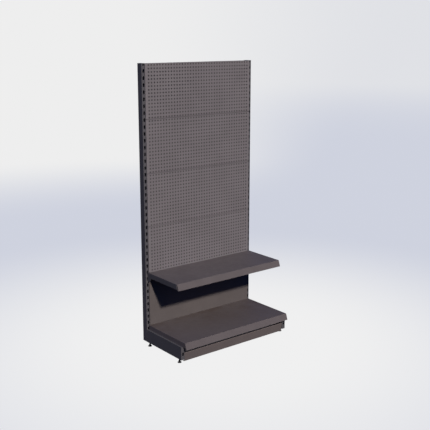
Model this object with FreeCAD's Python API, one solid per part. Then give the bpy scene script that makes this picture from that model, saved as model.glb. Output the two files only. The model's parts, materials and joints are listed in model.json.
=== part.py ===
import FreeCAD, Part
import math
import os

# A single-sided gondola shelving bay in folded sheet steel: two slotted uprights joined by cross
# rails, four perforated back panels over a plain one, a shelf on two hook-in brackets, and a base
# shelf on two base feet with a clip-on plinth between them and four screw levellers underneath.
#
# Millimetres, +Z up. The origin is on the floor under the centre of the bay's outline, +X runs
# along the bay and the goods face -Y. Places are given in the bay's own three measures:
#   inboard  inwards from the outer side face of the left upright (the right side is a mirror image)
#   forward  outwards from the uprights' front faces, so that negative values lie inside them
#   height   upwards from the bottom of the uprights and base feet

Vec = FreeCAD.Vector

# Bay
BAY_PITCH = 1000.0  # between the centre lines of the two uprights
FLOOR_GAP = 33.0  # under the uprights and base feet, taken up by the levellers

# Uprights
UPRIGHT_WIDTH = 30.0
UPRIGHT_DEPTH = 55.0
UPRIGHT_HEIGHT = 2110.0
UPRIGHT_WALL = 2.0
UPRIGHT_CORNER = 3.0
SLOT_PITCH = 50.0
SLOT_WIDTH = 14.0
SLOT_HEIGHT = 28.0
SLOT_COUNT = 42
TOP_SLOT_DROP = 4.0  # the first slot's centre below the upright's top, so it is an open notch
PLUG_DEPTH = 12.0
PLUG_WALL = 2.5
PLUG_CLEARANCE = 0.1

# Back panels
PANEL_PITCH = 400.0
PANEL_GAP = 2.5  # between two neighbouring panels
PANEL_EDGE = 24.0  # a panel's side edge, inboard
PANEL_STAND = 10.0  # a panel's face, forward
PANEL_SHEET = 1.0
PANEL_BEND = 2.0
PERFORATED_PANELS = 4
LAP_EDGE = 32.0  # side edge of the lip that closes the gap below a panel, inboard
LAP_GAP = 0.3  # between that lip and the next panel's top return
LAP_DROP = 10.0
HOLE_PITCH = 25.0
HOLE_RADIUS = 3.5
HOLE_COLUMNS = 38
HOLE_ROWS = 16
PANEL_HOOK_INBOARD = 26.0  # centre plane of the hooks on a panel's back
PANEL_HOOK_THICKNESS = 2.0
PANEL_HOOK_OFFSETS = (-150.0, 150.0)  # hook slots above and below a panel's mid height
PANEL_HOOK_NECK = 7.0
PANEL_HOOK_DROP = 12.0
PANEL_SLOT_WIDTH = 3.2
PANEL_SLOT_HEIGHT = 20.0
PANEL_SLOT_CORNER = 0.5

# Cross rails behind the panels
RAIL_TALL = 40.0
RAIL_DEEP = 20.0
RAIL_WALL = 1.5
RAIL_FORWARD = -12.0  # a rail's front face
RAIL_HEIGHTS = {"upper": 460.0, "lower": 160.0}
RAIL_PLATE_TALL = 88.0
RAIL_PLATE_DEEP = 40.0
RAIL_PLATE = 3.0
RAIL_BOLT_OFFSET = 32.0

# Base feet
FOOT_TALL = 100.0
FOOT_REACH = 448.0
FOOT_WALL = 2.0
FOOT_BACK_PLATE = 3.0
FOOT_SOLE = 3.0
FOOT_SOLE_LENGTH = 32.0
FOOT_SLOT_HEIGHT = 45.0
FOOT_BOLT_HEIGHTS = (24.0, 84.0)

# Levellers
LEVELLER_FORWARD = {"rear": 16.0, "front": 404.0}
THREAD_RADIUS = 5.0
THREAD_CLEARANCE = 0.08
PAD_RADIUS = 15.0
PAD_RIM = 3.0
PAD_HUB_RADIUS = 9.0
PAD_HEIGHT = 10.0
PAD_SOCKET_FLOOR = 4.0
JOURNAL_RADIUS = 4.0
COLLAR_LIFT = 0.4  # between the pad's top and the stem's spanner collar
COLLAR_HEIGHT = 7.0
COLLAR_ACROSS = 14.0
STEM_TOP = 45.0  # height
NUT_ACROSS = 17.0
NUT_HEIGHT = 8.0

# Plinth and its clips
PLINTH_SHEET = 1.2
PLINTH_BEND = 2.0
PLINTH_END_GAP = 1.0
PLINTH_TOP = 50.0
PLINTH_BOTTOM = -18.0
PLINTH_TOP_REACH = 446.0
PLINTH_BOTTOM_REACH = 437.0
PLINTH_TOP_RETURN = 8.0
PLINTH_BOTTOM_RETURN = 14.0
BLADE_THICKNESS = 2.0
BLADE_INBOARD = 36.0
BLADE_REAR = 410.0
BLADE_HEIGHTS = (12.0, 30.0)
CLIP_WIDTH = 11.0
CLIP_FORWARD = (410.0, 430.0)
CLIP_HEIGHTS = (6.0, 35.0)
CLIP_SLOT_TOP = 31.0
CLIP_CLEARANCE = 0.2
CLIP_SCREW_HEIGHT = 20.0
CLIP_SCREW_FORWARD = 420.0

# Shelves
SHELF_SHEET = 1.0
SHELF_BEND = 2.0
SHELF_REAR = 12.0  # a shelf's rear flange, forward
LIP_RETURN = 12.0
BASE_SHELF = {
    "inboard": 14.5, "top": 137.0, "front": 475.0, "side_drop": 37.0, "lip_drop": 49.0, "lip_reach": 17.0,
}
UPPER_SHELF = {
    "inboard": 17.3, "top": 558.0, "front": 380.0, "side_drop": 36.0, "lip_drop": 47.0, "lip_reach": 17.0,
}
STIFFENER_WIDTH = 60.0
STIFFENER_DEPTH = 16.0
STIFFENER_FLANGE = 12.0
STIFFENER_END_GAP = 4.0
BASE_STIFFENERS = {"rear": 150.0, "front": 330.0}
UPPER_STIFFENERS = {"rear": 120.0, "front": 270.0}

# Shelf brackets
BRACKET_PLATE = 2.5
BRACKET_SEAT_WIDTH = 14.0
BRACKET_REACH = 377.0
BRACKET_TOP_DROP = 1.0  # below the shelf's top
BRACKET_HEEL_DROP = 70.0  # bottom of the deep rear part, below the shelf's top
BRACKET_HEEL_REACH = 28.0
BRACKET_TAPER_REACH = 52.0
BRACKET_SLOTS = (31, 32)  # the slots that take its hooks, counted from the top notch
HOOK_NECK = 12.0
HOOK_DROP = 12.0
HOOK_THICKNESS = 4.5
HOOK_SNUG = 0.3  # between a hook's tail and the inside of the upright's wall

# Bolts and screws
BOLT_RADIUS = 4.0
BOLT_CLEARANCE = 0.2
BOLT_ACROSS = 13.0
BOLT_HEAD = 5.3
BOLT_GRIP = 18.0
SCREW_RADIUS = 2.0
SCREW_HEAD_RADIUS = 3.6
SCREW_HEAD = 2.2

HALF_WIDTH = (BAY_PITCH + UPRIGHT_WIDTH) / 2
SLOT_INBOARD = UPRIGHT_WIDTH / 2
LIP_FRONT = BASE_SHELF["front"] + BASE_SHELF["lip_reach"]
FRONT_FACE_Y = (LIP_FRONT - UPRIGHT_DEPTH) / 2  # centres the outline on Y = 0


def across(*inboard):
    """X of places measured inboard."""
    return [distance - HALF_WIDTH for distance in inboard]


def along(*forward):
    """Y of places measured forward."""
    return [FRONT_FACE_Y - distance for distance in forward]


def up(*height):
    """Z of places measured in height."""
    return [FLOOR_GAP + distance for distance in height]


def point(inboard, forward, height):
    return Vec(*across(inboard), *along(forward), *up(height))


def block(inboard, forward, height):
    """A box between the two ends of each span."""
    spans = [sorted(span) for span in (across(*inboard), along(*forward), up(*height))]
    low = Vec(*(span[0] for span in spans))
    sizes = [span[1] - span[0] for span in spans]
    return Part.makeBox(*sizes, low)


def full_width(inboard):
    """The inboard span from one side of the bay to the same place on the other side."""
    return (inboard, 2 * HALF_WIDTH - inboard)


def rounded_wire(corners):
    """A closed wire through (point, radius) corners, each rounded to its radius."""
    starts, ends, arcs = [], [], []
    for i, (corner, radius) in enumerate(corners):
        to_last = (corners[i - 1][0] - corner).normalize()
        to_next = (corners[(i + 1) % len(corners)][0] - corner).normalize()
        if radius == 0:
            starts.append(corner)
            ends.append(corner)
            arcs.append(None)
            continue
        half_angle = to_last.getAngle(to_next) / 2
        setback = radius / math.tan(half_angle)
        bisector = (to_last + to_next).normalize()
        middle = corner + bisector * (radius / math.sin(half_angle) - radius)
        starts.append(corner + to_last * setback)
        ends.append(corner + to_next * setback)
        arcs.append(Part.Arc(starts[-1], middle, ends[-1]).toShape())
    edges = []
    for i, arc in enumerate(arcs):
        if arc:
            edges.append(arc)
        edges.append(Part.LineSegment(ends[i], starts[(i + 1) % len(arcs)]).toShape())
    return Part.Wire(edges)


def extruded(corners, direction):
    return Part.Face(rounded_wire(corners)).extrude(direction)


def side_profile(corners, inboard):
    """A prism of (forward, height, radius) corners between two inboard places."""
    x0, x1 = across(*inboard)
    placed = [(point(inboard[0], forward, height), radius) for forward, height, radius in corners]
    return extruded(placed, Vec(x1 - x0, 0, 0))


def rounded_bar(inboard, forward, height, radius):
    """A vertical bar whose four upright edges are rounded."""
    ring = [(0, 0), (1, 0), (1, 1), (0, 1)]
    corners = [(point(inboard[i], forward[j], height[0]), radius) for i, j in ring]
    return extruded(corners, Vec(0, 0, height[1] - height[0]))


def bracket_slot_cutter(height, forward):
    """The prism of a slot with round ends, through walls that face forward."""
    radius = SLOT_WIDTH / 2
    arc_centre = SLOT_HEIGHT / 2 - radius
    ends = []
    for side in (1, -1):
        start = point(SLOT_INBOARD + side * radius, forward[0], height + side * arc_centre)
        middle = point(SLOT_INBOARD, forward[0], height + side * (arc_centre + radius))
        end = point(SLOT_INBOARD - side * radius, forward[0], height + side * arc_centre)
        ends.append((start, middle, end))
    edges = []
    for (start, middle, end), (next_start, _, _) in zip(ends, ends[::-1]):
        edges.append(Part.Arc(start, middle, end).toShape())
        edges.append(Part.LineSegment(end, next_start).toShape())
    return Part.Face(Part.Wire(edges)).extrude(Vec(0, forward[0] - forward[1], 0))


def panel_slot_cutter(height, forward):
    """The prism of a narrow slot for a panel's hook, through a wall that faces forward."""
    wide, tall = PANEL_SLOT_WIDTH / 2, PANEL_SLOT_HEIGHT / 2
    ring = [(-wide, -tall), (wide, -tall), (wide, tall), (-wide, tall)]
    corners = [
        (point(PANEL_HOOK_INBOARD + dx, forward[0], height + dz), PANEL_SLOT_CORNER) for dx, dz in ring
    ]
    return extruded(corners, Vec(0, forward[0] - forward[1], 0))


def folded_section(path, thickness, bend):
    """Corners of a folded sheet's section. The path is one face, and the other face lies a
    thickness to its left, or to its right if the thickness is negative."""
    path = [Vec(a, b, 0) for a, b in path]
    lines = [(b - a).normalize() for a, b in zip(path, path[1:])]
    left = [Vec(-line.y, line.x, 0) for line in lines]
    near, far = [], []
    for i, corner in enumerate(path):
        before, after = left[max(i - 1, 0)], left[min(i, len(left) - 1)]
        mitre = (before + after) * (thickness / (1 + before.dot(after)))
        turn = 0 if i in (0, len(path) - 1) else lines[i - 1].cross(lines[i]).z
        inner, outer = (bend, bend + abs(thickness)) if turn else (0, 0)
        path_is_inner = turn * thickness < 0
        near.append((corner.x, corner.y, inner if path_is_inner else outer))
        other = corner + mitre
        far.append((other.x, other.y, outer if path_is_inner else inner))
    return near + far[::-1]


def cylinder(radius, length, base, direction):
    return Part.makeCylinder(radius, length, base, direction)


def hexagon(across_flats, length, base, direction):
    """A hexagonal prism from its base along a direction, which is along X, Y or Z."""
    turn = FreeCAD.Rotation(Vec(0, 0, 1), direction)
    radius = across_flats / math.sqrt(3)
    ring = [Vec(radius * math.cos(i * math.pi / 3), radius * math.sin(i * math.pi / 3), 0) for i in range(6)]
    corners = [(base + turn.multVec(corner), 0) for corner in ring]
    return extruded(corners, direction * length)


def hex_bolt(seat, direction):
    """A bolt whose head sits on the seat and whose shank runs on in the direction."""
    head = hexagon(BOLT_ACROSS, BOLT_HEAD, seat - direction * BOLT_HEAD, direction)
    return head.fuse(cylinder(BOLT_RADIUS, BOLT_GRIP, seat, direction)).removeSplitter()


def bolt_hole(seat, direction, thickness):
    """A bolt's clearance hole through a thickness of metal under its seat."""
    return cylinder(BOLT_RADIUS + BOLT_CLEARANCE, thickness + 2, seat - direction, direction)


def cut(shape, tools):
    return shape.cut(Part.makeCompound(tools))


def fused(shapes):
    return shapes[0].multiFuse(shapes[1:]).removeSplitter()


def mirrored(shape):
    """The same piece on the other side of the bay."""
    return shape.mirror(Vec(0, 0, 0), Vec(1, 0, 0))


def rounded_front(shape, radius, face_test):
    """The shape with the edges around the faces that pass the test rounded."""
    edges = []
    for face in shape.Faces:
        if face_test(face):
            edges.extend(face.Edges)
    return shape.makeFillet(radius, edges)


def slot_height(index):
    """Height of a bracket slot's centre, counted from the notch at the top."""
    return UPRIGHT_HEIGHT - TOP_SLOT_DROP - index * SLOT_PITCH


def panel_mid_height(index):
    """Height of a back panel's middle, counted from the top panel."""
    return UPRIGHT_HEIGHT - (index + 0.5) * PANEL_PITCH


def panel_hook_slots(index):
    """Heights of the bottoms of the small slots that hold one side of a panel."""
    return [panel_mid_height(index) + offset for offset in PANEL_HOOK_OFFSETS]


def rail_bolt_seats(height):
    """Where the heads of a rail's left-hand bolts sit on its end plate."""
    middle = RAIL_FORWARD - RAIL_DEEP / 2
    inboard = UPRIGHT_WIDTH + RAIL_PLATE
    return [point(inboard, middle, height + offset) for offset in (-RAIL_BOLT_OFFSET, RAIL_BOLT_OFFSET)]


def foot_bolt_seats():
    """Where the heads of the left foot's bolts sit on its back plate."""
    return [point(SLOT_INBOARD, FOOT_BACK_PLATE, height) for height in FOOT_BOLT_HEIGHTS]


# Frame

def upright():
    """A slotted tube: bracket slots through front and rear, and panel slots in the front only."""
    wall = UPRIGHT_WALL
    tall = (0, UPRIGHT_HEIGHT)
    tube = rounded_bar((0, UPRIGHT_WIDTH), (0, -UPRIGHT_DEPTH), tall, UPRIGHT_CORNER)
    bore = rounded_bar(
        (wall, UPRIGHT_WIDTH - wall), (-wall, wall - UPRIGHT_DEPTH), tall, UPRIGHT_CORNER - wall
    )
    both_walls = (1, -UPRIGHT_DEPTH - 1)
    front_wall = (1, -wall - 1)
    tools = [bore]
    for i in range(SLOT_COUNT):
        tools.append(bracket_slot_cutter(slot_height(i), both_walls))
    for i in range(PERFORATED_PANELS + 1):
        for bottom in panel_hook_slots(i):
            tools.append(panel_slot_cutter(bottom + PANEL_SLOT_HEIGHT / 2, front_wall))
    for height in RAIL_HEIGHTS.values():
        tools += [bolt_hole(seat, Vec(-1, 0, 0), RAIL_PLATE + wall) for seat in rail_bolt_seats(height)]
    tools += [bolt_hole(seat, Vec(0, 1, 0), FOOT_BACK_PLATE + wall) for seat in foot_bolt_seats()]
    return cut(tube, tools)


def plug(height, opening_down):
    """A moulded plug inside one end of an upright, flush with its end."""
    inset = UPRIGHT_WALL + PLUG_CLEARANCE
    sides = (inset, UPRIGHT_WIDTH - inset)
    depth = (-inset, inset - UPRIGHT_DEPTH)
    body = rounded_bar(sides, depth, (height, height + PLUG_DEPTH), 1)
    hollow_sides = (sides[0] + PLUG_WALL, sides[1] - PLUG_WALL)
    hollow_depth = (depth[0] - PLUG_WALL, depth[1] + PLUG_WALL)
    low = height - 1 if opening_down else height + PLUG_WALL
    hollow = rounded_bar(hollow_sides, hollow_depth, (low, low + PLUG_DEPTH + 1 - PLUG_WALL), 1)
    return body.cut(hollow)


def cross_rail(height):
    """A square tube between two bolted end plates."""
    front, rear = RAIL_FORWARD, RAIL_FORWARD - RAIL_DEEP
    tall = (height - RAIL_TALL / 2, height + RAIL_TALL / 2)
    inside = (tall[0] + RAIL_WALL, tall[1] - RAIL_WALL)
    ends = full_width(UPRIGHT_WIDTH + RAIL_PLATE)
    tube = block(ends, (front, rear), tall)
    bore = block(ends, (front - RAIL_WALL, rear + RAIL_WALL), inside)
    middle = (front + rear) / 2
    plate = block(
        (UPRIGHT_WIDTH, UPRIGHT_WIDTH + RAIL_PLATE),
        (middle + RAIL_PLATE_DEEP / 2, middle - RAIL_PLATE_DEEP / 2),
        (height - RAIL_PLATE_TALL / 2, height + RAIL_PLATE_TALL / 2),
    )
    plate = cut(plate, [bolt_hole(seat, Vec(-1, 0, 0), RAIL_PLATE) for seat in rail_bolt_seats(height)])
    return fused([tube.cut(bore), plate, mirrored(plate)])


def cross_rail_bolts():
    left = []
    for height in RAIL_HEIGHTS.values():
        left += [hex_bolt(seat, Vec(-1, 0, 0)) for seat in rail_bolt_seats(height)]
    return Part.makeCompound(left + [mirrored(bolt) for bolt in left])


# Back panels

def panel_hook(bottom):
    """A welded hook: a plate behind the panel's face, a neck through the upright and a tail behind."""
    half = PANEL_HOOK_THICKNESS / 2
    inboard = (PANEL_HOOK_INBOARD - half, PANEL_HOOK_INBOARD + half)
    root = PANEL_STAND - PANEL_SHEET
    tail_front = -UPRIGHT_WALL - HOOK_SNUG
    tail_rear = tail_front - 3.5
    plate = block(inboard, (root, 0), (bottom - 5, bottom + 25))
    neck = block(inboard, (0, tail_front), (bottom, bottom + PANEL_HOOK_NECK))
    tail = block(inboard, (tail_front, tail_rear), (bottom - PANEL_HOOK_DROP, bottom + PANEL_HOOK_NECK))
    return fused([plate, neck, tail])


def lap_lip(panel_bottom):
    """A step back and down from a panel's bottom return, behind the top of the panel below."""
    rear = -LAP_GAP - PANEL_SHEET
    step_top = panel_bottom + PANEL_SHEET
    step = block(full_width(LAP_EDGE), (PANEL_SHEET, rear), (panel_bottom, step_top))
    drop = block(full_width(LAP_EDGE), (-LAP_GAP, rear), (panel_bottom - LAP_DROP, step_top))
    return [step, drop]


def plain_pan(index):
    """A folded pan: a face, four returns that reach back to the uprights' faces, and its hooks."""
    middle = panel_mid_height(index)
    sheet = PANEL_SHEET
    half = (PANEL_PITCH - PANEL_GAP) / 2
    half_inside = half - sheet
    outer = block(full_width(PANEL_EDGE), (PANEL_STAND, 0), (middle - half, middle + half))
    inner = block(
        full_width(PANEL_EDGE + sheet),
        (PANEL_STAND - sheet, -1),
        (middle - half_inside, middle + half_inside),
    )

    def is_front(face):
        return face.normalAt(0, 0).y < -0.9

    outer = rounded_front(outer, PANEL_BEND, is_front)
    inner = rounded_front(inner, PANEL_BEND - sheet, is_front)
    hooks = [panel_hook(bottom) for bottom in panel_hook_slots(index)]
    return fused([outer.cut(inner)] + hooks + [mirrored(hook) for hook in hooks])


def perforated_pan(index):
    """A pan with a grid of holes in its face, and a lip that laps behind the panel below."""
    first_x = -(HOLE_COLUMNS - 1) / 2 * HOLE_PITCH
    first_height = panel_mid_height(index) - (HOLE_ROWS - 1) / 2 * HOLE_PITCH
    front = Vec(0, *along(PANEL_STAND + 1), 0)
    holes = []
    for row in range(HOLE_ROWS):
        z = up(first_height + row * HOLE_PITCH)[0]
        for column in range(HOLE_COLUMNS):
            base = front + Vec(first_x + column * HOLE_PITCH, 0, z)
            holes.append(cylinder(HOLE_RADIUS, PANEL_SHEET + 2, base, Vec(0, 1, 0)))
    bottom = panel_mid_height(index) - (PANEL_PITCH - PANEL_GAP) / 2
    return fused([cut(plain_pan(index), holes)] + lap_lip(bottom))


# Base feet, levellers and plinth

def base_foot():
    """A folded box, open below, with a back plate, a closed slotted front and two soles."""
    wall = FOOT_WALL
    outer = rounded_bar((0, UPRIGHT_WIDTH), (FOOT_REACH, 0), (0, FOOT_TALL), wall + 1)
    inner = rounded_bar(
        (wall, UPRIGHT_WIDTH - wall), (FOOT_REACH - wall, FOOT_BACK_PLATE), (-1, FOOT_TALL - wall), 1
    )
    soles = []
    for middle in LEVELLER_FORWARD.values():
        rear = max(middle - FOOT_SOLE_LENGTH / 2, FOOT_BACK_PLATE)
        front = middle + FOOT_SOLE_LENGTH / 2
        soles.append(block((wall, UPRIGHT_WIDTH - wall), (rear, front), (0, FOOT_SOLE)))
    stem_room = THREAD_RADIUS + 0.5
    tools = [
        cylinder(stem_room, FOOT_SOLE + 2, point(SLOT_INBOARD, middle, -1), Vec(0, 0, 1))
        for middle in LEVELLER_FORWARD.values()
    ]
    front_wall = (FOOT_REACH + 1, FOOT_REACH - wall - 1)
    tools.append(bracket_slot_cutter(FOOT_SLOT_HEIGHT, front_wall))
    tools += [bolt_hole(seat, Vec(0, 1, 0), FOOT_BACK_PLATE) for seat in foot_bolt_seats()]
    inward = Vec(1, 0, 0)
    tools.append(cylinder(SCREW_RADIUS + BOLT_CLEARANCE, wall + 2, clip_screw_seat() - inward, inward))
    return cut(fused([outer.cut(inner)] + soles), tools)


def base_foot_bolts():
    left = [hex_bolt(seat, Vec(0, 1, 0)) for seat in foot_bolt_seats()]
    return Part.makeCompound(left + [mirrored(bolt) for bolt in left])


def leveller_nut(forward):
    base = point(SLOT_INBOARD, forward, FOOT_SOLE)
    bore = cylinder(THREAD_RADIUS + THREAD_CLEARANCE, NUT_HEIGHT, base, Vec(0, 0, 1))
    return hexagon(NUT_ACROSS, NUT_HEIGHT, base, Vec(0, 0, 1)).cut(bore)


def leveller_nuts():
    left = [leveller_nut(forward) for forward in LEVELLER_FORWARD.values()]
    return Part.makeCompound(left + [mirrored(nut) for nut in left])


def leveller_pad(forward):
    """A round pad with a coned top and a blind socket for the stem's lower end."""
    axis = point(SLOT_INBOARD, forward, -FLOOR_GAP)
    outline = [
        (0, 0), (PAD_RADIUS - 1, 0), (PAD_RADIUS, 1), (PAD_RADIUS, PAD_RIM),
        (PAD_HUB_RADIUS, PAD_HEIGHT - 3), (PAD_HUB_RADIUS - 1, PAD_HEIGHT), (0, PAD_HEIGHT),
    ]
    corners = [(axis + Vec(radius, 0, height), 0) for radius, height in outline]
    pad = Part.Face(rounded_wire(corners)).revolve(axis, Vec(0, 0, 1), 360)
    socket = cylinder(
        JOURNAL_RADIUS + THREAD_CLEARANCE, PAD_HEIGHT, axis + Vec(0, 0, PAD_SOCKET_FLOOR), Vec(0, 0, 1)
    )
    return pad.cut(socket)


def leveller_stem(forward):
    """A threaded stem with a spanner collar, standing in the pad's socket."""
    foot = point(SLOT_INBOARD, forward, PAD_SOCKET_FLOOR - FLOOR_GAP)
    collar_base = PAD_HEIGHT + COLLAR_LIFT - PAD_SOCKET_FLOOR
    thread_base = collar_base + COLLAR_HEIGHT
    thread_length = STEM_TOP + FLOOR_GAP - PAD_SOCKET_FLOOR - thread_base
    upward = Vec(0, 0, 1)
    journal = cylinder(JOURNAL_RADIUS, collar_base, foot, upward)
    collar = hexagon(COLLAR_ACROSS, COLLAR_HEIGHT, foot + Vec(0, 0, collar_base), upward)
    thread = cylinder(THREAD_RADIUS, thread_length, foot + Vec(0, 0, thread_base), upward)
    tip = [edge for edge in thread.Edges if edge.BoundBox.ZMin > foot.z + thread_base + thread_length - 0.1]
    return fused([journal, collar, thread.makeChamfer(1, tip)])


def clip_screw_seat():
    """Where a clip screw's head sits, on the inside of the foot's inner wall."""
    return point(UPRIGHT_WIDTH - FOOT_WALL, CLIP_SCREW_FORWARD, CLIP_SCREW_HEIGHT)


def clip_screw_grip():
    """How far a clip screw runs from its seat, to just short of the clip's slot."""
    return BLADE_INBOARD - BLADE_THICKNESS / 2 - CLIP_CLEARANCE - (UPRIGHT_WIDTH - FOOT_WALL)


def plinth_clip():
    """A block on the foot's inner side, with a slot that grips the plinth's blade."""
    body = block((UPRIGHT_WIDTH, UPRIGHT_WIDTH + CLIP_WIDTH), CLIP_FORWARD, CLIP_HEIGHTS)
    half = BLADE_THICKNESS / 2 + CLIP_CLEARANCE
    ends = (CLIP_FORWARD[0] - 1, CLIP_FORWARD[1] + 1)
    low = CLIP_HEIGHTS[0] - 1
    slot = block((BLADE_INBOARD - half, BLADE_INBOARD + half), ends, (low, CLIP_SLOT_TOP))
    thread = cylinder(SCREW_RADIUS, clip_screw_grip(), clip_screw_seat(), Vec(1, 0, 0))
    return cut(body, [slot, thread])


def plinth_clip_screws():
    seat = clip_screw_seat()
    inward = Vec(1, 0, 0)
    head = cylinder(SCREW_HEAD_RADIUS, SCREW_HEAD, seat - inward * SCREW_HEAD, inward)
    screw = head.fuse(cylinder(SCREW_RADIUS, clip_screw_grip(), seat, inward)).removeSplitter()
    return Part.makeCompound([screw, mirrored(screw)])


def plinth():
    """A kick plate that leans back to its foot, with folded edges and a blade at each end."""
    span = full_width(UPRIGHT_WIDTH + PLINTH_END_GAP)
    path = [
        (PLINTH_BOTTOM_REACH - PLINTH_BOTTOM_RETURN, PLINTH_BOTTOM),
        (PLINTH_BOTTOM_REACH, PLINTH_BOTTOM),
        (PLINTH_TOP_REACH, PLINTH_TOP),
        (PLINTH_TOP_REACH - PLINTH_TOP_RETURN, PLINTH_TOP),
    ]
    corners = folded_section(path, PLINTH_SHEET, PLINTH_BEND)
    sheet = side_profile(corners, span)
    low, high = BLADE_HEIGHTS
    lean = (PLINTH_TOP_REACH - PLINTH_BOTTOM_REACH) / (PLINTH_TOP - PLINTH_BOTTOM)
    back_low = PLINTH_BOTTOM_REACH - PLINTH_SHEET / 2 + lean * (low - PLINTH_BOTTOM)
    back_high = back_low + lean * (high - low)
    outline = [(BLADE_REAR, low, 0), (back_low, low, 0), (back_high, high, 0), (BLADE_REAR, high, 0)]
    half = BLADE_THICKNESS / 2
    blade = side_profile(outline, (BLADE_INBOARD - half, BLADE_INBOARD + half))
    return fused([sheet, blade, mirrored(blade)])


# Shelves

def shelf(size):
    """A folded tray, open below: flanges at the sides and rear, a sloped lip with a small return."""
    sheet = SHELF_SHEET
    top, front = size["top"], size["front"]
    side_bottom, lip_bottom = top - size["side_drop"], top - size["lip_drop"]
    lip_front = front + size["lip_reach"]
    outline = [
        (SHELF_REAR, side_bottom, 0), (SHELF_REAR, top, 0), (front, top, 0), (lip_front, lip_bottom, 0),
        (lip_front - LIP_RETURN, lip_bottom, 0), (lip_front - LIP_RETURN - 8, side_bottom, 0),
    ]
    outer = side_profile(outline, full_width(size["inboard"]))
    slope = size["lip_reach"] / size["lip_drop"]
    skin = sheet * math.hypot(1, slope)  # the lip's thickness measured forward
    hollow = [
        (SHELF_REAR + sheet, lip_bottom - 5, 0),
        (SHELF_REAR + sheet, top - sheet, 0),
        (front - skin + slope * sheet, top - sheet, 0),
        (lip_front - skin - slope * sheet, lip_bottom + sheet, 0),
        (lip_front - LIP_RETURN, lip_bottom + sheet, 0),
        (lip_front - LIP_RETURN, lip_bottom - 5, 0),
    ]
    inner = side_profile(hollow, full_width(size["inboard"] + sheet))

    def is_top(face):
        return face.normalAt(0, 0).z > 0.9

    outer = rounded_front(outer, SHELF_BEND, is_top)
    inner = rounded_front(inner, SHELF_BEND - sheet, is_top)
    return outer.cut(inner)


def stiffener(size, forward):
    """A hat section welded under a shelf's top, from flange to flange."""
    ceiling = size["top"] - SHELF_SHEET
    half = STIFFENER_WIDTH / 2
    web = half - STIFFENER_FLANGE
    path = [
        (forward - half, ceiling), (forward - web, ceiling), (forward - web, ceiling - STIFFENER_DEPTH),
        (forward + web, ceiling - STIFFENER_DEPTH), (forward + web, ceiling), (forward + half, ceiling),
    ]
    corners = folded_section(path, -SHELF_SHEET, 1)
    return side_profile(corners, full_width(size["inboard"] + SHELF_SHEET + STIFFENER_END_GAP))


def shelf_bracket():
    """A pressed bracket: a plate with two hooks at the rear and an inward seat for the shelf."""
    half = BRACKET_PLATE / 2
    inboard = (SLOT_INBOARD - half, SLOT_INBOARD + half)
    top = UPPER_SHELF["top"] - BRACKET_TOP_DROP
    heel = UPPER_SHELF["top"] - BRACKET_HEEL_DROP
    seat = UPPER_SHELF["top"] - UPPER_SHELF["side_drop"]
    underside = seat - BRACKET_PLATE
    outline = [
        (0.5, heel, 3), (0.5, top, 3), (BRACKET_REACH, top, 3), (BRACKET_REACH, underside, 0),
        (BRACKET_TAPER_REACH, underside, 8), (BRACKET_HEEL_REACH, heel, 6),
    ]
    plate = side_profile(outline, inboard)
    ledge_sides = (inboard[0], inboard[0] + BRACKET_SEAT_WIDTH)
    ledge = block(ledge_sides, (BRACKET_TAPER_REACH, BRACKET_REACH), (underside, seat))
    tail_front = -UPRIGHT_WALL - HOOK_SNUG
    pieces = [plate, ledge]
    slot_radius = SLOT_WIDTH / 2
    to_slot_bottom = SLOT_HEIGHT / 2 - slot_radius + math.sqrt(slot_radius**2 - half**2)
    for index in BRACKET_SLOTS:
        neck_bottom = slot_height(index) - to_slot_bottom
        neck_top = neck_bottom + HOOK_NECK
        pieces.append(block(inboard, (0.5, tail_front), (neck_bottom, neck_top)))
        tail_rear = tail_front - HOOK_THICKNESS
        pieces.append(block(inboard, (tail_front, tail_rear), (neck_bottom - HOOK_DROP, neck_top)))
    return fused(pieces)


# All the pieces by name

def pieces():
    made = {}

    def on_both_sides(name, left):
        made[f"{name}_left"] = left
        made[f"{name}_right"] = mirrored(left)

    on_both_sides("upright", upright())
    on_both_sides("upright_top_plug", plug(UPRIGHT_HEIGHT - PLUG_DEPTH, True))
    on_both_sides("upright_base_plug", plug(0, False))
    for place, height in RAIL_HEIGHTS.items():
        made[f"cross_rail_{place}"] = cross_rail(height)
    made["cross_rail_bolts"] = cross_rail_bolts()
    first_panel = perforated_pan(0)
    for i in range(PERFORATED_PANELS):
        made[f"perforated_panel_{i + 1}"] = first_panel.translated(Vec(0, 0, -i * PANEL_PITCH))
    made["plain_panel"] = plain_pan(PERFORATED_PANELS)
    on_both_sides("base_foot", base_foot())
    made["base_foot_bolts"] = base_foot_bolts()
    made["leveller_nuts"] = leveller_nuts()
    for place, forward in LEVELLER_FORWARD.items():
        on_both_sides(f"leveller_pad_{place}", leveller_pad(forward))
        on_both_sides(f"leveller_stem_{place}", leveller_stem(forward))
    on_both_sides("plinth_clip", plinth_clip())
    made["plinth_clip_screws"] = plinth_clip_screws()
    made["plinth"] = plinth()
    made["base_shelf"] = shelf(BASE_SHELF)
    for place, forward in BASE_STIFFENERS.items():
        made[f"base_shelf_stiffener_{place}"] = stiffener(BASE_SHELF, forward)
    on_both_sides("shelf_bracket", shelf_bracket())
    made["upper_shelf"] = shelf(UPPER_SHELF)
    for place, forward in UPPER_STIFFENERS.items():
        made[f"upper_shelf_stiffener_{place}"] = stiffener(UPPER_SHELF, forward)
    return made


def main():
    os.makedirs("parts", exist_ok=True)
    for name, shape in pieces().items():
        shape.exportStep(f"parts/{name}.step")
        box = shape.BoundBox
        print(
            f"{name:30s} {len(shape.Solids):2d} solids {shape.isValid()} {shape.Volume / 1000:9.2f} cm3"
            f"  x {box.XMin:8.2f} {box.XMax:8.2f}  y {box.YMin:8.2f} {box.YMax:8.2f}"
            f"  z {box.ZMin:8.2f} {box.ZMax:8.2f}"
        )


main()
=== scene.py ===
import json
import math

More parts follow.
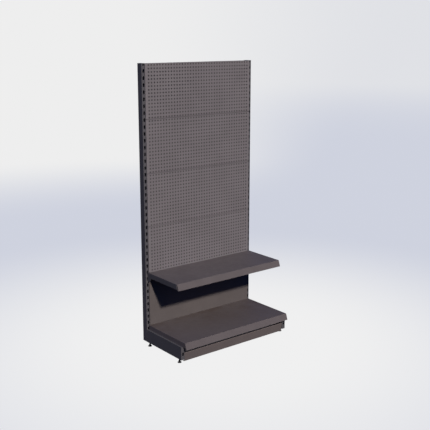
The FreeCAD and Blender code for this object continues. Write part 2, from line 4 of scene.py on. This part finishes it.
import bmesh
import bpy
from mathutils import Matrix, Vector


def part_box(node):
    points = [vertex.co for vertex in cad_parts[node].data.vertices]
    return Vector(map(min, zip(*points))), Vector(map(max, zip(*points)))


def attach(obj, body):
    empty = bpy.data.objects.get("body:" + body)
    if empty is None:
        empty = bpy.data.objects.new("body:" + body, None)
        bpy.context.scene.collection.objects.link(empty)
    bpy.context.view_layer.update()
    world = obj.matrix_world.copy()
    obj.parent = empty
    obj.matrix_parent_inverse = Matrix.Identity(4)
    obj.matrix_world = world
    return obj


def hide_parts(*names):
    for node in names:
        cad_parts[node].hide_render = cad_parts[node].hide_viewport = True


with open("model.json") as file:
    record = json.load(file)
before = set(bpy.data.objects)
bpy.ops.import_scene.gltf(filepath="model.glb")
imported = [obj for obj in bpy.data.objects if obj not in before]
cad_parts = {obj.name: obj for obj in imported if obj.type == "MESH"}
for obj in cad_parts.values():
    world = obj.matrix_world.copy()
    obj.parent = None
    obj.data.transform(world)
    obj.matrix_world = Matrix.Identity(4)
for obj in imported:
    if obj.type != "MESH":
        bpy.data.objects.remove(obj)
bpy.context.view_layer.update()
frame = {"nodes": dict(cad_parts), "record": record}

# A gondola shelving bay in dark powder-coated sheet steel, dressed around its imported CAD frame.
# Metres. +Z is up, +X runs along the bay and the goods face -Y.

NODES = frame["nodes"]
SIDES = ("left", "right")
PLACES = ("rear", "front")


# Small helpers


def middle(box):
    return (box[0] + box[1]) / 2


def new_object(name, mesh):
    made = bpy.data.objects.new(name, mesh)
    bpy.context.scene.collection.objects.link(made)
    return made


def piece_from(name, verts, faces, material, body, smooth_angle=0.6):
    """A mesh piece that rides on a body and takes its finish from a slot."""
    mesh = bpy.data.meshes.new(name)
    mesh.from_pydata([tuple(v) for v in verts], [], faces)
    shape = bmesh.new()
    shape.from_mesh(mesh)
    bmesh.ops.remove_doubles(shape, verts=shape.verts, dist=1e-7)
    bmesh.ops.recalc_face_normals(shape, faces=shape.faces)
    for face in shape.faces:
        face.smooth = True
    for edge in shape.edges:
        if len(edge.link_faces) == 2 and edge.calc_face_angle(0.0) > smooth_angle:
            edge.smooth = False
    shape.to_mesh(mesh)
    shape.free()
    made = new_object(name, mesh)
    made.data.materials.append(material)
    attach(made, body)
    return made


def ring_faces(rings, per_ring, first=0, closed_ends=True):
    """Quads between neighbouring rings of points, with a cap on each end."""
    faces = []
    for i in range(rings - 1):
        for j in range(per_ring):
            k = (j + 1) % per_ring
            a, b = first + i * per_ring, first + (i + 1) * per_ring
            faces.append((a + j, a + k, b + k, b + j))
    if closed_ends:
        faces.append(tuple(first + j for j in reversed(range(per_ring))))
        faces.append(tuple(first + (rings - 1) * per_ring + j for j in range(per_ring)))
    return faces


# Materials

class Nodes:
    """Short calls for building a node tree."""

    def __init__(self, tree):
        self.tree = tree
        tree.nodes.clear()

    def add(self, kind, **settings):
        node = self.tree.nodes.new(kind)
        for name, value in settings.items():
            setattr(node, name, value)
        return node

    def link(self, source, target):
        self.tree.links.new(source, target)

    def math(self, operation, a, b=None, clamp=False):
        node = self.add("ShaderNodeMath", operation=operation, use_clamp=clamp)
        for socket, value in zip(node.inputs, (a, b)):
            if value is None:
                continue
            if isinstance(value, (int, float)):
                socket.default_value = value
            else:
                self.link(value, socket)
        return node.outputs[0]

    def noise(self, vector, scale, detail=2.0, roughness=0.5):
        node = self.add("ShaderNodeTexNoise")
        self.link(vector, node.inputs["Vector"])
        node.inputs["Scale"].default_value = scale
        node.inputs["Detail"].default_value = detail
        node.inputs["Roughness"].default_value = roughness
        return node.outputs["Fac"]

    def remap(self, value, low, high, to_low, to_high):
        node = self.add("ShaderNodeMapRange", interpolation_type="SMOOTHSTEP")
        self.link(value, node.inputs["Value"])
        for name, number in (("From Min", low), ("From Max", high), ("To Min", to_low), ("To Max", to_high)):
            node.inputs[name].default_value = number
        return node.outputs["Result"]

    def mix(self, factor, a, b):
        node = self.add("ShaderNodeMix", data_type="RGBA")
        self.link(factor, node.inputs["Factor"])
        for socket, value in ((node.inputs[6], a), (node.inputs[7], b)):
            if isinstance(value, tuple):
                socket.default_value = (*value, 1.0)
            else:
                self.link(value, socket)
        return node.outputs[2]


def scaled(colour, factor):
    return tuple(c * factor for c in colour)


def surface_material(name, roughness, specular=0.5, metallic=0.0):
    """A material with a Principled shader, its object coordinates and its node helper."""
    material = bpy.data.materials.new(name)
    material.use_nodes = True
    nodes = Nodes(material.node_tree)
    shader = nodes.add("ShaderNodeBsdfPrincipled")
    output = nodes.add("ShaderNodeOutputMaterial")
    nodes.link(shader.outputs[0], output.inputs["Surface"])
    shader.inputs["Roughness"].default_value = roughness
    shader.inputs["Metallic"].default_value = metallic
    shader.inputs["Specular IOR Level"].default_value = specular
    place = nodes.add("ShaderNodeTexCoord").outputs["Object"]
    return material, nodes, shader, place


def add_bump(nodes, shader, height, strength, distance):
    bump = nodes.add("ShaderNodeBump")
    bump.inputs["Strength"].default_value = strength
    bump.inputs["Distance"].default_value = distance
    nodes.link(height, bump.inputs["Height"])
    nodes.link(bump.outputs["Normal"], shader.inputs["Normal"])


# The dark ring round each punched hole is painted shade, not relief. It makes the holes read as large dots
# from afar.
HOLE_PITCH = 0.025
GRID_HALF_WIDTH = 0.470
PANEL_HALF_HEIGHT = 0.19875
GRID_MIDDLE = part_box("perforated_panel_1")[1].z - PANEL_HALF_HEIGHT
RING_DARK = 0.0052
RING_EDGE = 0.0069
HOLE_SHADE_COLOUR = 0.1
# Upward faces take the dust colour, heavier towards the back. On the base shelf that colour is dark and the
# mark is painted shade.
DUST_AND_SHADE_FRONT = -0.20
DUST_AND_SHADE_BACK = 0.16
DUST_AND_SHADE_AT_FRONT = 0.25
DUST_AND_SHADE_PATCH_SCALE = 3.2
COAT_SPECULAR = 0.22
MOTTLE_SCALE = 7.0
MOTTLE_SPREAD = 0.05
HANDLED_SCALE = 23.0
PEEL_SCALE = 420.0
GRAIN_SCALE = 1400.0
GLOSS_SPREAD = 0.07


def hole_shade_mask(nodes, place):
    """One in the painted shade ring round each punched hole of the perforated panels, nought away from them.
    """
    parts = nodes.add("ShaderNodeSeparateXYZ")
    nodes.link(place, parts.inputs[0])
    squares = []
    for axis, origin in (("X", 0.0), ("Z", GRID_MIDDLE)):
        cells = nodes.math("DIVIDE", nodes.math("SUBTRACT", parts.outputs[axis], origin), HOLE_PITCH)
        off_centre = nodes.math("SUBTRACT", nodes.math("FRACT", cells), 0.5)
        squares.append(nodes.math("MULTIPLY", off_centre, off_centre))
    radius = nodes.math("MULTIPLY", nodes.math("SQRT", nodes.math("ADD", *squares)), HOLE_PITCH)
    ring = nodes.remap(radius, RING_DARK, RING_EDGE, 1.0, 0.0)
    on_grid = nodes.math("LESS_THAN", nodes.math("ABSOLUTE", parts.outputs["X"]), GRID_HALF_WIDTH)
    return nodes.math("MULTIPLY", ring, on_grid)


def powder_coat(name, colour, roughness=0.58, dust_and_shade=0.0, dust_and_shade_colour=(0.24, 0.22, 0.20), hole_shade=0.0):
    """Fine-textured powder coat: orange peel, mottling, handling marks and, if asked, pale dust and dark
    painted shade on upward faces, and painted shade rings round the holes.
    """
    material, nodes, shader, place = surface_material(name, roughness, specular=COAT_SPECULAR)
    mottle = nodes.noise(place, MOTTLE_SCALE, 4.0, 0.6)
    grain = nodes.noise(place, GRAIN_SCALE, 2.0, 0.7)
    peel = nodes.noise(place, PEEL_SCALE, 3.0, 0.55)
    darker, lighter = scaled(colour, 1 - MOTTLE_SPREAD), scaled(colour, 1 + MOTTLE_SPREAD)
    mottled = nodes.mix(nodes.remap(mottle, 0.3, 0.7, 0.0, 1.0), darker, lighter)
    dark_fleck = nodes.remap(grain, 0.30, 0.48, 1.0, 0.0)
    flecked = nodes.mix(nodes.math("MULTIPLY", dark_fleck, 0.35), mottled, scaled(colour, 0.72))
    light_fleck = nodes.remap(grain, 0.60, 0.74, 0.0, 0.30)
    coat = nodes.mix(light_fleck, flecked, scaled(colour, 1.35))
    # Upward faces take the given colour in patches, more towards the back: pale dust on the upper shelf,
    # painted shade on the base shelf.
    if dust_and_shade:
        facing = nodes.add("ShaderNodeSeparateXYZ")
        nodes.link(nodes.add("ShaderNodeNewGeometry").outputs["Normal"], facing.inputs[0])
        upward = nodes.remap(facing.outputs["Z"], 0.6, 0.98, 0.0, 1.0)
        patches = nodes.remap(nodes.noise(place, DUST_AND_SHADE_PATCH_SCALE, 5.0, 0.62), 0.35, 0.75, 0.15, 1.0)
        parts = nodes.add("ShaderNodeSeparateXYZ")
        nodes.link(place, parts.inputs[0])
        back_weighted = nodes.remap(parts.outputs["Y"], DUST_AND_SHADE_FRONT, DUST_AND_SHADE_BACK, DUST_AND_SHADE_AT_FRONT, 1.0)
        amount = nodes.math("MULTIPLY", nodes.math("MULTIPLY", upward, patches), dust_and_shade)
        coat = nodes.mix(nodes.math("MULTIPLY", amount, back_weighted), coat, dust_and_shade_colour)
    # Painted shade: a dark ring round each hole of the perforated panels.
    if hole_shade:
        ring = nodes.math("MULTIPLY", hole_shade_mask(nodes, place), hole_shade)
        coat = nodes.mix(ring, coat, scaled(colour, HOLE_SHADE_COLOUR))
    nodes.link(coat, shader.inputs["Base Color"])
    handled = nodes.noise(place, HANDLED_SCALE, 5.0, 0.7)
    gloss = nodes.remap(handled, 0.25, 0.75, roughness - GLOSS_SPREAD, roughness + GLOSS_SPREAD)
    nodes.link(gloss, shader.inputs["Roughness"])
    height = nodes.math("ADD", nodes.math("MULTIPLY", peel, 0.7), nodes.math("MULTIPLY", grain, 0.3))
    add_bump(nodes, shader, height, 0.22, 0.00025)
    return material


def zinc(name, colour, roughness, patchiness=0.2):
    """Electroplated zinc: soft spangled tone with fine drawing lines and a few dull patches."""
    material, nodes, shader, place = surface_material(name, roughness, metallic=1.0)
    spangle = nodes.add("ShaderNodeTexVoronoi")
    spangle.inputs["Scale"].default_value = 420.0
    nodes.link(place, spangle.inputs["Vector"])
    tone = nodes.remap(spangle.outputs["Distance"], 0.1, 0.7, 0.0, 1.0)
    plated = nodes.mix(tone, scaled(colour, 0.82), scaled(colour, 1.12))
    dull = nodes.remap(nodes.noise(place, 60.0, 4.0, 0.6), 0.45, 0.7, 0.0, patchiness)
    nodes.link(nodes.mix(dull, plated, scaled(colour, 0.55)), shader.inputs["Base Color"])
    scuffs = nodes.noise(place, 300.0, 3.0, 0.6)
    nodes.link(nodes.remap(scuffs, 0.3, 0.7, roughness - 0.08, roughness + 0.12), shader.inputs["Roughness"])
    add_bump(nodes, shader, scuffs, 0.15, 0.0001)
    return material


def moulded_plastic(name, colour, roughness):
    """Moulded nylon: spark-eroded texture, rubbed smoother in patches."""
    material, nodes, shader, place = surface_material(name, roughness, specular=0.4)
    texture = nodes.noise(place, 1600.0, 2.0, 0.6)
    rubbed = nodes.noise(place, 45.0, 3.0, 0.6)
    tone = nodes.remap(rubbed, 0.35, 0.7, 0.0, 1.0)
    nodes.link(nodes.mix(tone, scaled(colour, 0.85), scaled(colour, 1.25)), shader.inputs["Base Color"])
    nodes.link(nodes.remap(rubbed, 0.3, 0.7, roughness + 0.06, roughness - 0.08), shader.inputs["Roughness"])
    add_bump(nodes, shader, texture, 0.3, 0.0002)
    return material


COATS = {
    "frame_coat": powder_coat("frame powder coat", (0.094, 0.094, 0.107)),
    "panel_coat": powder_coat("panel powder coat", (0.116, 0.105, 0.106)),
    "bracket_coat": powder_coat("bracket powder coat", (0.094, 0.094, 0.107)),
    "shelf_coat": powder_coat("shelf powder coat", (0.121, 0.109, 0.114), dust_and_shade=0.05),
    "plinth_coat": powder_coat("plinth powder coat", (0.132, 0.116, 0.120)),
    "zinc_fastener": zinc("bright zinc plate", (0.55, 0.56, 0.58), 0.32),
    "leveller_steel": zinc("black zinc plate", (0.035, 0.035, 0.040), 0.42, 0.5),
    "leveller_foot": moulded_plastic("black nylon", (0.014, 0.014, 0.016), 0.55),
    "black_plastic": moulded_plastic("black polypropylene", (0.016, 0.016, 0.018), 0.48),
}
# The perforated panels' coat is the plain panel's powder coat painted lighter: painted light on the
# perforated field, which also offsets the rings' painted shade.
PAINTED_LIGHT_PERFORATED_COAT = powder_coat("perforated panel coat with painted light", (0.193, 0.183, 0.197), hole_shade=0.9)
# The base shelf's top is painted darker in patches, more towards the back: painted shade.
BASE_SHELF_SHADED_COAT = powder_coat(
    "base shelf coat with painted shade", (0.124, 0.111, 0.117), dust_and_shade=0.95, dust_and_shade_colour=(0.078, 0.058, 0.052)
)

NODE_SLOTS = {row["node"]: row["material_slot"] for row in frame["record"]["subparts"]}
for node_name, node in NODES.items():
    node.data.materials.clear()
    if node_name.startswith("perforated_panel"):
        node.data.materials.append(PAINTED_LIGHT_PERFORATED_COAT)
    elif node_name == "base_shelf":
        node.data.materials.append(BASE_SHELF_SHADED_COAT)
    else:
        node.data.materials.append(COATS[NODE_SLOTS[node_name]])


# Levellers: a real thread on each stem

THREAD_PITCH = 0.0015
THREAD_RADIUS = 0.005
THREAD_DEPTH = 0.0008
JOURNAL_RADIUS = 0.004
COLLAR_ACROSS = 0.014
COLLAR_HEIGHT = 0.007
COLLAR_BASE = 0.0104
STEM_SEGMENTS = 36
STEPS_PER_TURN = 6
TIP_CHAMFER = 0.001
TIP_RELIEF = 0.0002
JOURNAL_CHAMFER = 0.0004
COLLAR_CHAMFER = 0.0006
COLLAR_END_LIMIT = 0.0068
COLLAR_CORNER_LIMIT = 0.0085
CREST_STEEPNESS = 1.5
ROOT_FLAT = 0.2


def threaded_stem(name, node_name):
    """A stem with a journal, a chamfered hexagon collar and a rolled thread up to its tip."""
    low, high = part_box(node_name)
    axis = middle((low, high))
    thread_base = COLLAR_BASE + COLLAR_HEIGHT
    angles = [2 * math.pi * j / STEM_SEGMENTS for j in range(STEM_SEGMENTS)]

    def hexagon_radius(angle):
        to_flat = (angle + math.pi / 6) % (math.pi / 3) - math.pi / 6
        return COLLAR_ACROSS / 2 / math.cos(to_flat)

    rings = [
        (low.z, [JOURNAL_RADIUS - JOURNAL_CHAMFER] * STEM_SEGMENTS),
        (low.z + JOURNAL_CHAMFER, [JOURNAL_RADIUS] * STEM_SEGMENTS),
        (COLLAR_BASE, [JOURNAL_RADIUS] * STEM_SEGMENTS),
    ]
    collar_profile = (
        (0.0, COLLAR_END_LIMIT),
        (COLLAR_CHAMFER, COLLAR_CORNER_LIMIT),
        (COLLAR_HEIGHT - COLLAR_CHAMFER, COLLAR_CORNER_LIMIT),
        (COLLAR_HEIGHT, COLLAR_END_LIMIT),
    )
    for height, limit in collar_profile:
        rings.append((COLLAR_BASE + height, [min(hexagon_radius(a), limit) for a in angles]))
    rings.append((thread_base, [THREAD_RADIUS - THREAD_DEPTH] * STEM_SEGMENTS))
    steps = int((high.z - thread_base) / THREAD_PITCH * STEPS_PER_TURN)
    for i in range(1, steps + 1):
        z = thread_base + (high.z - thread_base) * i / steps
        ring = []
        for angle in angles:
            phase = (z / THREAD_PITCH - angle / (2 * math.pi)) % 1.0
            crest = 1 - abs(2 * phase - 1)
            flat_topped = min(1.0, max(0.0, crest * CREST_STEEPNESS - ROOT_FLAT))
            radius = THREAD_RADIUS - THREAD_DEPTH * (1 - flat_topped)
            to_tip = high.z - z
            if to_tip < TIP_CHAMFER:
                radius = min(radius, THREAD_RADIUS - (TIP_CHAMFER - to_tip) - TIP_RELIEF)
            ring.append(radius)
        rings.append((z, ring))
    verts = [
        (axis.x + r * math.cos(a), axis.y + r * math.sin(a), z)
        for z, ring in rings for r, a in zip(ring, angles)
    ]
    faces = ring_faces(len(rings), STEM_SEGMENTS)
    stem = piece_from(name, verts, faces, COATS["leveller_steel"], node_name, 0.9)
    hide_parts(node_name)


for place in PLACES:
    for side in SIDES:
        threaded_stem(f"threaded_stem_{place}_{side}", f"leveller_stem_{place}_{side}")


# Fillet welds, where the rails' tubes meet their end plates

WELD_LEG = 0.0030
WELD_STEP = 0.0007
WELD_RIPPLE = 0.0021
WELD_RIPPLE_DEPTH = 0.14
WELD_SEGMENTS = 10


def along_path(corners, step):
    """Points along a closed path of corners, with the path's direction at each."""
    points = []
    for a, b in zip(corners, corners[1:] + corners[:1]):
        count = max(1, round((b - a).length / step))
        for i in range(count):
            points.append((a + (b - a) * (i / count), (b - a).normalized()))
    return points


def weld_ring(corners, inward):
    """A rippled bead round a closed path. Inward points from the plate along the tube."""
    points = along_path(corners, WELD_STEP)
    verts = []
    for i, (point, direction) in enumerate(points):
        before = points[i - 1][1]
        tangent = (direction + before).normalized()
        outward = tangent.cross(inward).normalized()
        scallop = ((i * WELD_STEP) % WELD_RIPPLE) / WELD_RIPPLE
        leg = WELD_LEG * (1 - WELD_RIPPLE_DEPTH + WELD_RIPPLE_DEPTH * math.sin(math.pi * scallop))
        for j in range(WELD_SEGMENTS):
            turn = 2 * math.pi * j / WELD_SEGMENTS
            aside = outward * (leg * 0.5 * math.cos(turn))
            along = inward * (leg * 0.5 * math.sin(turn))
            verts.append(point + aside + along)
    count = len(points)
    faces = []
    for i in range(count):
        for j in range(WELD_SEGMENTS):
            k, m = (j + 1) % WELD_SEGMENTS, (i + 1) % count
            here, ahead = i * WELD_SEGMENTS, m * WELD_SEGMENTS
            faces.append((here + j, here + k, ahead + k, ahead + j))
    return verts, faces


RAIL_TALL = 0.040
RAIL_DEEP = 0.020
RAIL_PLATE = 0.003

for rail in ("upper", "lower"):
    rail_low, rail_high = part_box(f"cross_rail_{rail}")
    rail_middle = middle((rail_low, rail_high))
    all_verts, all_faces = [], []
    for sign, x in ((1, rail_low.x + RAIL_PLATE), (-1, rail_high.x - RAIL_PLATE)):
        ring = [
            Vector((x, rail_middle.y + dy * RAIL_DEEP / 2, rail_middle.z + dz * RAIL_TALL / 2))
            for dy, dz in ((-1, -1), (1, -1), (1, 1), (-1, 1))
        ]
        verts, faces = weld_ring(ring, Vector((sign, 0, 0)))
        all_faces += [tuple(len(all_verts) + v for v in face) for face in faces]
        all_verts += verts
    piece_from(f"rail_welds_{rail}", all_verts, all_faces, COATS["frame_coat"], "frame", 2.0)


# Spot welds: shallow electrode marks on the shelves' stiffener flanges

SPOT_RINGS = ((0.0034, 0.0), (0.0030, -0.00014), (0.0026, -0.00010), (0.0018, 0.00002), (0.0008, 0.00004))
SPOT_SEGMENTS = 20
SPOT_COUNT = 12
FLANGE_INSET = 0.006
STIFFENER_SHEET = 0.001
SPOT_END_INSET = 0.030


def spot_welds(shelf):
    """Two rows of marks along each stiffener, on the undersides of its flanges."""
    verts, faces = [], []
    for place in PLACES:
        low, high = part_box(f"{shelf}_stiffener_{place}")
        underside = high.z - STIFFENER_SHEET
        for y in (low.y + FLANGE_INSET, high.y - FLANGE_INSET):
            for i in range(SPOT_COUNT):
                share = i / (SPOT_COUNT - 1)
                x = low.x + SPOT_END_INSET + share * (high.x - low.x - 2 * SPOT_END_INSET)
                first = len(verts)
                for radius, rise in SPOT_RINGS:
                    for j in range(SPOT_SEGMENTS):
                        turn = 2 * math.pi * j / SPOT_SEGMENTS
                        dx, dy = radius * math.cos(turn), radius * math.sin(turn)
                        verts.append((x + dx, y + dy, underside + rise))
                faces += ring_faces(len(SPOT_RINGS), SPOT_SEGMENTS, first)
    piece_from(f"{shelf}_spot_welds", verts, faces, COATS["shelf_coat"], shelf, 2.0)


for shelf_name in ("base_shelf", "upper_shelf"):
    spot_welds(shelf_name)


# Rear skin: a folded sheet between the uprights, which keeps daylight out of the perforation.
# It has no CAD node. Only this script has it.

SKIN_SHEET = 0.001
SKIN_FLANGE = 0.012
SKIN_BEND = 0.002
SKIN_SIDE_GAP = 0.0003
SKIN_BOTTOM = 0.135
SKIN_TOP_DROP = 0.002
BEND_STEPS = 5
RIVET_RINGS = ((0.0035, 0.0), (0.0034, 0.0004), (0.0028, 0.0009), (0.0018, 0.0012), (0.0006, 0.00125))
RIVET_SEGMENTS = 20
RIVET_COUNT = 9
RIVET_END_INSET = 0.060
RIVET_SINK = 0.0002


def folded_ring(half_x, low_z, high_z, inset):
    """The four corners of the skin's outline, moved inward by the inset."""
    x, low, high = half_x - inset, low_z + inset, high_z - inset
    return [(-x, low), (x, low), (x, high), (-x, high)]


def rear_skin():
    """A tray of one folded sheet, open towards the panels, with its back flush with the uprights."""
    upright_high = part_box("upright_left")[1]
    half_x = -upright_high.x - SKIN_SIDE_GAP
    back = upright_high.y - SKIN_SIDE_GAP
    low_z, high_z = SKIN_BOTTOM, upright_high.z - SKIN_TOP_DROP
    outside = [(back - SKIN_FLANGE, 0.0)]
    inside = [(back - SKIN_FLANGE, SKIN_SHEET)]
    for i in range(BEND_STEPS + 1):
        turn = math.pi / 2 * i / BEND_STEPS
        for path, radius in ((outside, SKIN_BEND), (inside, SKIN_BEND - SKIN_SHEET)):
            y = back - SKIN_BEND + radius * math.sin(turn)
            path.append((y, SKIN_BEND - radius * math.cos(turn)))
    verts = []
    for y, inset in outside + inside[::-1]:
        verts += [(x, y, z) for x, z in folded_ring(half_x, low_z, high_z, inset)]
    rings = len(outside) + len(inside)
    faces = ring_faces(rings, 4, closed_ends=False)
    last = len(outside) * 4
    faces = [face for face in faces if not (min(face) < last <= max(face))]
    faces.append(tuple(range(last - 4, last)))
    faces.append(tuple(range(last + 3, last - 1, -1)))
    end = (rings - 1) * 4
    for j in range(4):
        k = (j + 1) % 4
        faces.append((j, k, end + k, end + j))
    piece_from("rear_skin", verts, faces, COATS["panel_coat"], "frame")


def rear_skin_rivets():
    """Rivet heads down the inside of each of the skin's side flanges."""
    upright_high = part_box("upright_left")[1]
    half_x = -upright_high.x - SKIN_SIDE_GAP - SKIN_SHEET
    y = upright_high.y - SKIN_SIDE_GAP - SKIN_FLANGE / 2
    first_z, last_z = SKIN_BOTTOM + RIVET_END_INSET, upright_high.z - RIVET_END_INSET
    verts, faces = [], []
    for side in (-1, 1):
        for i in range(RIVET_COUNT):
            z = first_z + (last_z - first_z) * i / (RIVET_COUNT - 1)
            first = len(verts)
            for radius, rise in RIVET_RINGS:
                for j in range(RIVET_SEGMENTS):
                    turn = 2 * math.pi * j / RIVET_SEGMENTS
                    x = side * (half_x + RIVET_SINK - rise)
                    verts.append((x, y + radius * math.cos(turn), z + radius * math.sin(turn)))
            faces += ring_faces(len(RIVET_RINGS), RIVET_SEGMENTS, first)
    piece_from("rear_skin_rivets", verts, faces, COATS["zinc_fastener"], "frame", 1.0)


rear_skin()
rear_skin_rivets()


# Floor, background and light. These aren't part of the object.

VIEW_AZIMUTH = 38.394
VIEW_PITCH = 13.205
VIEW_LENS = 65.13
VIEW_PLACE = (-3.5943, -4.5086, 2.3562)
WHITE = (0.855, 0.855, 0.855)
NEAR_FLOOR = (0.870, 0.870, 0.872)
BLUE_GREY = (0.620, 0.645, 0.735)
HORIZON_GREY = (0.745, 0.755, 0.790)
UNDER_SHADE = (0.012, 0.012, 0.016)
SKY_FILL = (0.005, 0.038, 0.175)
KEY_COLOUR = (1.0, 0.90, 0.80)
KEY_STRENGTH = 3.36
KEY_ANGLE = 3.5
KEY_DIRECTION = Vector((-0.220, -0.807, 0.547))
# The rear light comes from a hair below level, so it misses the tops of the shelves.
REAR_COLOUR = (0.93, 0.96, 1.0)
REAR_STRENGTH = 1.7
REAR_ANGLE = 0.01
REAR_DIRECTION = Vector((0.55, 0.835, -0.0002))
LIGHT_DISTANCE = 6.0
FLOOR_BOUNCE = (0.02, 0.02, 0.02)
SENSOR_WIDTH = 36.0
CLIP_END = 2000.0
BACKDROP_FADE = 0.35
FLOOR_RADIUS = 400.0
BAND_START = 0.7
BAND_FULL = 3.6
FAR_START = 4.6
FAR_FULL = 9.5
HORIZON_START = 11.0
HORIZON_FULL = 34.0
LEFT_SIDE = -0.12
RIGHT_SIDE = 0.24
SHADE_LEFT = -0.46
SHADE_RIGHT = 0.60
SHADE_BACK = 0.30
SHADE_FRONT = -0.18
SHADE_SOFTNESS = 0.07


def to_view_right(nodes, x, y):
    """The share of a direction that points to the right of the main view."""
    azimuth = math.radians(VIEW_AZIMUTH)
    return nodes.math(
        "SUBTRACT", nodes.math("MULTIPLY", x, math.cos(azimuth)), nodes.math("MULTIPLY", y, math.sin(azimuth))
    )


def under_object(nodes, x, y):
    """One in the soft shade under the middle of the base, nought on the open floor."""
    soft = SHADE_SOFTNESS
    from_left = nodes.remap(x, SHADE_LEFT, SHADE_LEFT + soft, 0.0, 1.0)
    from_right = nodes.remap(x, SHADE_RIGHT - soft, SHADE_RIGHT, 1.0, 0.0)
    from_back = nodes.remap(y, SHADE_BACK - soft, SHADE_BACK, 1.0, 0.0)
    from_front = nodes.remap(y, SHADE_FRONT, SHADE_FRONT + soft, 0.0, 1.0)
    across = nodes.math("MULTIPLY", from_left, from_right)
    return nodes.math("MULTIPLY", across, nodes.math("MULTIPLY", from_back, from_front))


def floor_material():
    """A pale painted floor to the camera, and a dark one to the light."""
    material = bpy.data.materials.new("pale floor")
    material.use_nodes = True
    nodes = Nodes(material.node_tree)
    place = nodes.add("ShaderNodeSeparateXYZ")
    nodes.link(nodes.add("ShaderNodeTexCoord").outputs["Object"], place.inputs[0])
    x, y = place.outputs["X"], place.outputs["Y"]
    squares = nodes.math("ADD", nodes.math("MULTIPLY", x, x), nodes.math("MULTIPLY", y, y))
    distance = nodes.math("SQRT", squares)
    side = nodes.math("DIVIDE", to_view_right(nodes, x, y), nodes.math("MAXIMUM", distance, 0.01))
    right = nodes.remap(side, LEFT_SIDE, RIGHT_SIDE, 0.0, 1.0)
    to_horizon = nodes.remap(distance, HORIZON_START, HORIZON_FULL, 0.0, 1.0)
    far = nodes.mix(right, WHITE, nodes.mix(to_horizon, BLUE_GREY, HORIZON_GREY))
    band = nodes.mix(nodes.remap(distance, BAND_START, BAND_FULL, 0.0, 1.0), NEAR_FLOOR, BLUE_GREY)
    open_floor = nodes.mix(nodes.remap(distance, FAR_START, FAR_FULL, 0.0, 1.0), band, far)
    colour = nodes.mix(under_object(nodes, x, y), open_floor, UNDER_SHADE)
    glow = nodes.add("ShaderNodeEmission")
    nodes.link(colour, glow.inputs["Color"])
    dark = nodes.add("ShaderNodeBsdfDiffuse")
    dark.inputs["Color"].default_value = (*FLOOR_BOUNCE, 1)
    chooser = nodes.add("ShaderNodeMixShader")
    nodes.link(nodes.add("ShaderNodeLightPath").outputs["Is Camera Ray"], chooser.inputs["Fac"])
    nodes.link(dark.outputs[0], chooser.inputs[1])
    nodes.link(glow.outputs[0], chooser.inputs[2])
    output = nodes.add("ShaderNodeOutputMaterial")
    nodes.link(chooser.outputs[0], output.inputs["Surface"])
    return material


def make_floor():
    shape = bmesh.new()
    bmesh.ops.create_circle(shape, cap_ends=True, segments=96, radius=FLOOR_RADIUS)
    mesh = bpy.data.meshes.new("floor")
    shape.to_mesh(mesh)
    shape.free()
    floor = new_object("floor", mesh)
    floor.data.materials.append(floor_material())


def make_world():
    """A pale backdrop to the camera, and a dim blue fill to the object."""
    world = bpy.data.worlds.new("studio")
    bpy.context.scene.world = world
    world.use_nodes = True
    nodes = Nodes(world.node_tree)
    direction = nodes.add("ShaderNodeSeparateXYZ")
    nodes.link(nodes.add("ShaderNodeTexCoord").outputs["Generated"], direction.inputs[0])
    side = to_view_right(nodes, direction.outputs["X"], direction.outputs["Y"])
    right = nodes.remap(side, LEFT_SIDE, RIGHT_SIDE, 0.0, 1.0)
    high = nodes.remap(direction.outputs["Z"], 0.0, BACKDROP_FADE, 1.0, 0.3)
    backdrop = nodes.mix(nodes.math("MULTIPLY", right, high), WHITE, HORIZON_GREY)
    seen = nodes.add("ShaderNodeBackground")
    nodes.link(backdrop, seen.inputs["Color"])
    fill = nodes.add("ShaderNodeBackground")
    fill.inputs["Color"].default_value = (*SKY_FILL, 1)
    chooser = nodes.add("ShaderNodeMixShader")
    nodes.link(nodes.add("ShaderNodeLightPath").outputs["Is Camera Ray"], chooser.inputs["Fac"])
    nodes.link(fill.outputs[0], chooser.inputs[1])
    nodes.link(seen.outputs[0], chooser.inputs[2])
    output = nodes.add("ShaderNodeOutputWorld")
    nodes.link(chooser.outputs[0], output.inputs["Surface"])


def make_light(name, strength, colour, angle, direction):
    light = bpy.data.lights.new(name, "SUN")
    light.energy = strength
    light.color = colour
    light.angle = math.radians(angle)
    lamp = bpy.data.objects.new(name, light)
    bpy.context.scene.collection.objects.link(lamp)
    lamp.location = direction * LIGHT_DISTANCE
    lamp.rotation_euler = direction.to_track_quat("Z", "Y").to_euler()


def make_camera():
    camera = bpy.data.objects.new("camera", bpy.data.cameras.new("camera"))
    bpy.context.scene.collection.objects.link(camera)
    camera.location = VIEW_PLACE
    camera.rotation_euler = (math.radians(90 - VIEW_PITCH), 0, math.radians(-VIEW_AZIMUTH))
    camera.data.sensor_width = SENSOR_WIDTH
    camera.data.lens = VIEW_LENS
    camera.data.clip_end = CLIP_END
    bpy.context.scene.camera = camera


make_floor()
make_world()
make_light("key", KEY_STRENGTH, KEY_COLOUR, KEY_ANGLE, KEY_DIRECTION)
make_light("rear", REAR_STRENGTH, REAR_COLOUR, REAR_ANGLE, REAR_DIRECTION)
make_camera()
bpy.context.scene.view_settings.view_transform = "Standard"
